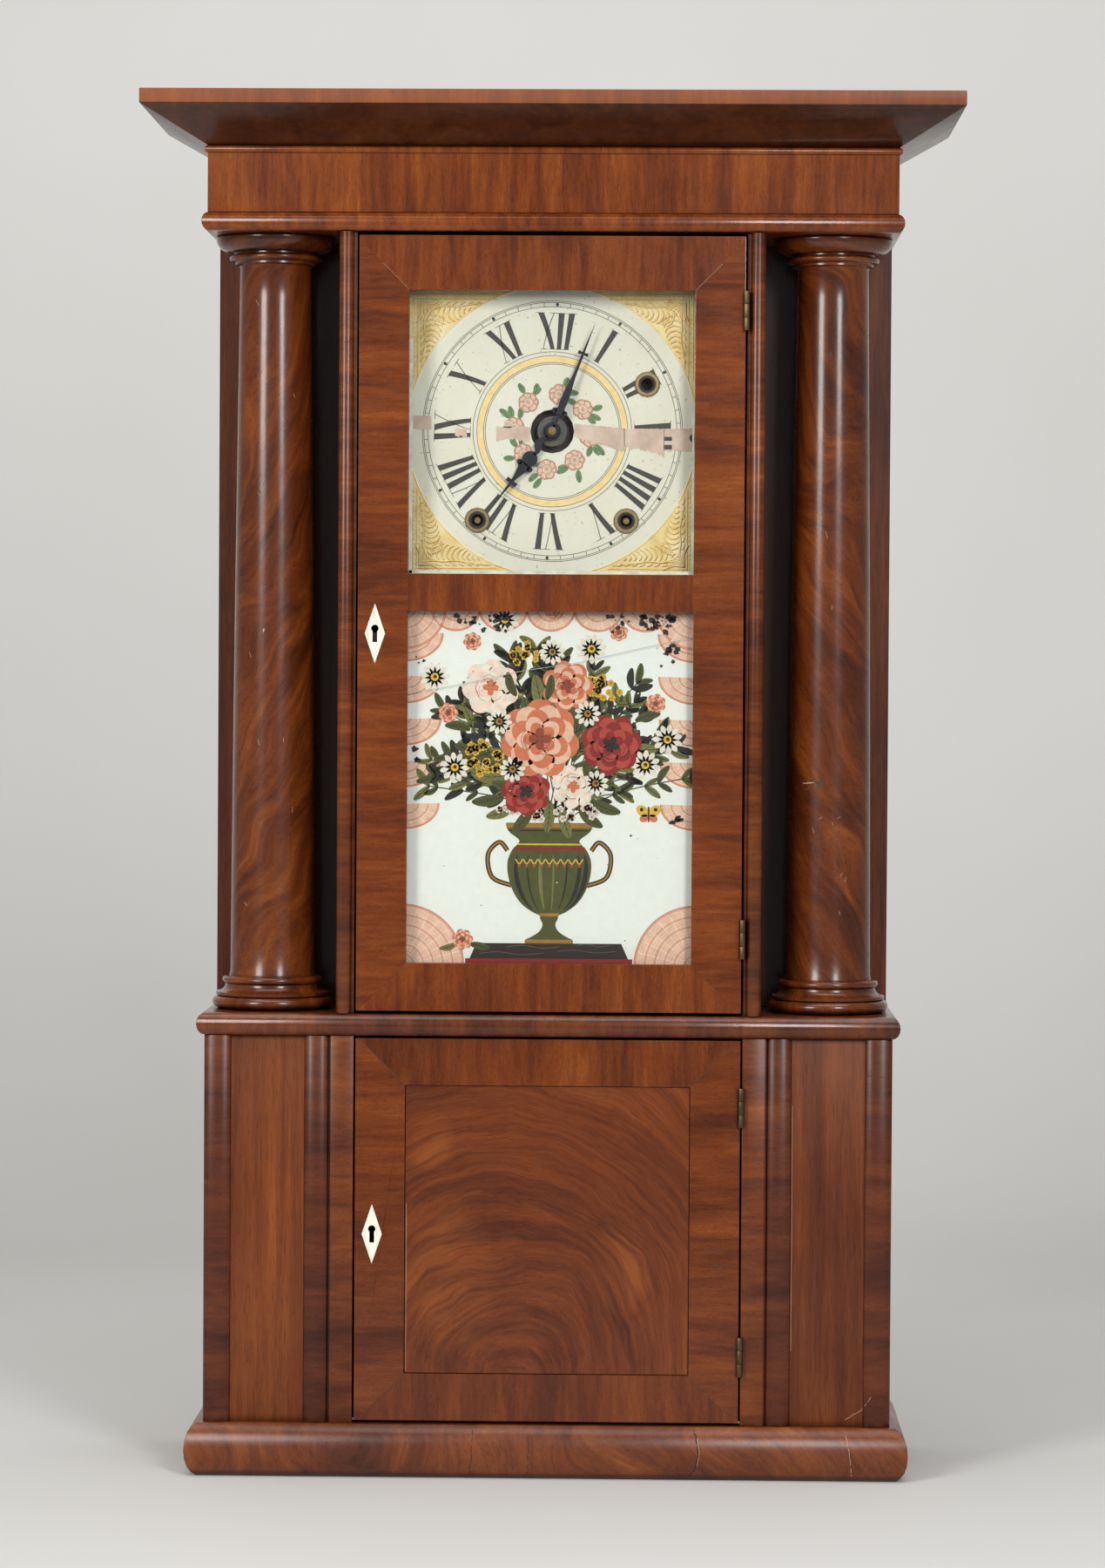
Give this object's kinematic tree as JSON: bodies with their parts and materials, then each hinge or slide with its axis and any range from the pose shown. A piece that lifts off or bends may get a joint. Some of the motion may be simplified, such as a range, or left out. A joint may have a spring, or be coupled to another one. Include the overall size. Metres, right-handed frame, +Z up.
{
  "type": "shelf clock",
  "caption": "Column-and-cornice shelf clock in mahogany with a glazed dial door, a painted tablet, a lower cupboard door and a weight-driven movement with a pendulum.",
  "frame": {"origin": "on the floor under the middle of the clock's box", "axes": "+Z up, -Y out of the front, +X to the right as seen from the front"},
  "size_m": [0.582, 0.198, 0.9864],
  "materials": {
    "carcass_wood": "French-polished cross-banded mahogany veneer",
    "flank_wood": "polished straight-grained mahogany veneer",
    "column_wood": "polished flame mahogany veneer on turned columns",
    "door_wood": "polished cross-banded mahogany veneer",
    "panel_wood": "polished crotch mahogany veneer",
    "pine": "aged bare pine",
    "clear_glass": "old window glass",
    "tablet_glass": "glass painted on its back",
    "bone": "polished bone",
    "hinge_brass": "darkened brass",
    "dial_paint": "painted wooden dial with gilt corners",
    "grommet_brass": "worn brass",
    "hand_steel": "blackened steel",
    "movement_brass": "aged brass",
    "steel": "oiled steel",
    "iron": "rough cast iron",
    "cord": "twisted cotton cord"
  },
  "bodies": {
    "case": {"base_moulding": "carcass_wood", "bottom_board": "pine", "lower_left_flank": "flank_wood", "lower_right_flank": "flank_wood", "middle_shelf": "carcass_wood", "upper_left_side": "flank_wood", "upper_right_side": "flank_wood", "left_inner_wall": "flank_wood", "right_inner_wall": "flank_wood", "left_column": "column_wood", "right_column": "column_wood", "entablature_moulding": "carcass_wood", "frieze": "carcass_wood", "cornice": "carcass_wood", "top_board": "pine", "backboard": "pine", "upper_hinge_bottom_fixed": "hinge_brass", "upper_hinge_top_fixed": "hinge_brass", "lower_hinge_bottom_fixed": "hinge_brass", "lower_hinge_top_fixed": "hinge_brass", "dial_board": "dial_paint", "time_grommet": "grommet_brass", "strike_grommet": "grommet_brass", "alarm_grommet": "grommet_brass", "front_plate": "movement_brass", "back_plate": "movement_brass", "gong": "steel", "gong_base": "iron", "time_cord": "cord", "strike_cord": "cord"},
    "upper_door": {"upper_door_frame": "door_wood", "dial_glass": "clear_glass", "tablet_glass": "tablet_glass", "upper_escutcheon": "bone", "upper_hinge_bottom_moving": "hinge_brass", "upper_hinge_top_moving": "hinge_brass"},
    "lower_door": {"lower_door_frame": "door_wood", "lower_door_panel": "panel_wood", "lower_escutcheon": "bone", "lower_hinge_bottom_moving": "hinge_brass", "lower_hinge_top_moving": "hinge_brass"},
    "minute_hand": {"minute_hand": "hand_steel", "centre_wheel": "movement_brass"},
    "hour_hand": {"hour_hand": "hand_steel", "hour_wheel": "movement_brass"},
    "minute_wheel": {"minute_wheel": "movement_brass"},
    "second_wheel": {"second_wheel": "movement_brass"},
    "great_wheel": {"time_great_wheel": "movement_brass"},
    "third_wheel": {"third_wheel": "movement_brass"},
    "escape_wheel": {"escape_wheel": "movement_brass"},
    "pendulum": {"pendulum_rod": "movement_brass", "pendulum_bob": "movement_brass"},
    "verge": {"verge": "steel"},
    "time_weight": {"time_weight": "iron"},
    "time_drum": {"time_drum": "movement_brass"},
    "time_pulley": {"time_pulley": "movement_brass"},
    "strike_weight": {"strike_weight": "iron"},
    "strike_drum": {"strike_drum": "movement_brass"},
    "strike_pulley": {"strike_pulley": "movement_brass"},
    "hammer": {"hammer": "steel"}
  },
  "joints": [
    {"name": "upper_door_hinge", "type": "hinge", "parent": "case", "child": "upper_door", "pos_m": [0.1385, -0.05685, 0.611], "axis": [0, 0, 1], "range_deg": [0, 120]},
    {"name": "lower_door_hinge", "type": "hinge", "parent": "case", "child": "lower_door", "pos_m": [0.1385, -0.05685, 0.177], "axis": [0, 0, 1], "range_deg": [0, 120]},
    {"name": "minute_hand_turn", "type": "hinge", "parent": "case", "child": "minute_hand", "pos_m": [0, -0.01, 0.75], "axis": [0, 1, 0], "continuous": true},
    {"name": "hour_hand_turn", "type": "hinge", "parent": "case", "child": "hour_hand", "pos_m": [0, -0.01, 0.75], "axis": [0, 1, 0], "continuous": true},
    {"name": "minute_wheel_turn", "type": "hinge", "parent": "case", "child": "minute_wheel", "pos_m": [-0.01358, -0.01, 0.73642], "axis": [0, 1, 0], "continuous": true},
    {"name": "second_wheel_turn", "type": "hinge", "parent": "case", "child": "second_wheel", "pos_m": [0.02663, 0, 0.72577], "axis": [0, 1, 0], "continuous": true},
    {"name": "great_wheel_turn", "type": "hinge", "parent": "case", "child": "great_wheel", "pos_m": [0.0535, 0, 0.686], "axis": [0, 1, 0], "continuous": true},
    {"name": "third_wheel_turn", "type": "hinge", "parent": "case", "child": "third_wheel", "pos_m": [-0.01487, 0, 0.77946], "axis": [0, 1, 0], "continuous": true},
    {"name": "escape_wheel_turn", "type": "hinge", "parent": "case", "child": "escape_wheel", "pos_m": [0, 0, 0.802], "axis": [0, 1, 0], "continuous": true},
    {"name": "pendulum_swing", "type": "hinge", "parent": "case", "child": "pendulum", "pos_m": [0, 0.04, 0.828], "axis": [0, 1, 0], "range_deg": [-4, 4]},
    {"name": "verge_rock", "type": "hinge", "parent": "case", "child": "verge", "pos_m": [0, 0.01, 0.828], "axis": [0, 1, 0], "range_deg": [-4, 4]},
    {"name": "time_weight_lift", "type": "slide", "parent": "case", "child": "time_weight", "axis": [0, 0, 1], "range_m": [0, 0.6], "deforming": ["time_cord"]},
    {"name": "time_drum_turn", "type": "hinge", "parent": "case", "child": "time_drum", "pos_m": [0.0535, 0.008, 0.686], "axis": [0, 1, 0], "range_deg": [0, 5730]},
    {"name": "time_pulley_turn", "type": "hinge", "parent": "case", "child": "time_pulley", "pos_m": [0.09974, 0.04863, 0.9055], "axis": [-0.7105, 0.7037, 0], "range_deg": [-2149, 0]},
    {"name": "strike_weight_lift", "type": "slide", "parent": "case", "child": "strike_weight", "axis": [0, 0, 1], "range_m": [0, 0.6], "deforming": ["strike_cord"]},
    {"name": "strike_drum_turn", "type": "hinge", "parent": "case", "child": "strike_drum", "pos_m": [-0.0535, 0.008, 0.686], "axis": [0, 1, 0], "range_deg": [-5730, 0]},
    {"name": "strike_pulley_turn", "type": "hinge", "parent": "case", "child": "strike_pulley", "pos_m": [-0.09974, 0.04863, 0.9055], "axis": [-0.7105, -0.7037, 0], "range_deg": [-2149, 0]},
    {"name": "hammer_swing", "type": "hinge", "parent": "case", "child": "hammer", "pos_m": [-0.04, 0.03, 0.735], "axis": [0, 1, 0], "range_deg": [0, 8]}
  ],
  "couplings": [
    {"joint": "hour_hand_turn", "follows": "minute_hand_turn", "ratio": 0.083333},
    {"joint": "minute_wheel_turn", "follows": "minute_hand_turn", "ratio": -0.33333},
    {"joint": "second_wheel_turn", "follows": "minute_hand_turn", "ratio": -0.33333},
    {"joint": "great_wheel_turn", "follows": "minute_hand_turn", "ratio": 0.083333},
    {"joint": "third_wheel_turn", "follows": "minute_hand_turn", "ratio": -10},
    {"joint": "escape_wheel_turn", "follows": "minute_hand_turn", "ratio": 80},
    {"joint": "verge_rock", "follows": "pendulum_swing", "ratio": 1},
    {"joint": "time_drum_turn", "follows": "time_weight_lift", "rad_per_m": 166.67},
    {"joint": "time_pulley_turn", "follows": "time_weight_lift", "rad_per_m": -62.5},
    {"joint": "strike_drum_turn", "follows": "strike_weight_lift", "rad_per_m": -166.67},
    {"joint": "strike_pulley_turn", "follows": "strike_weight_lift", "rad_per_m": -62.5}
  ]
}
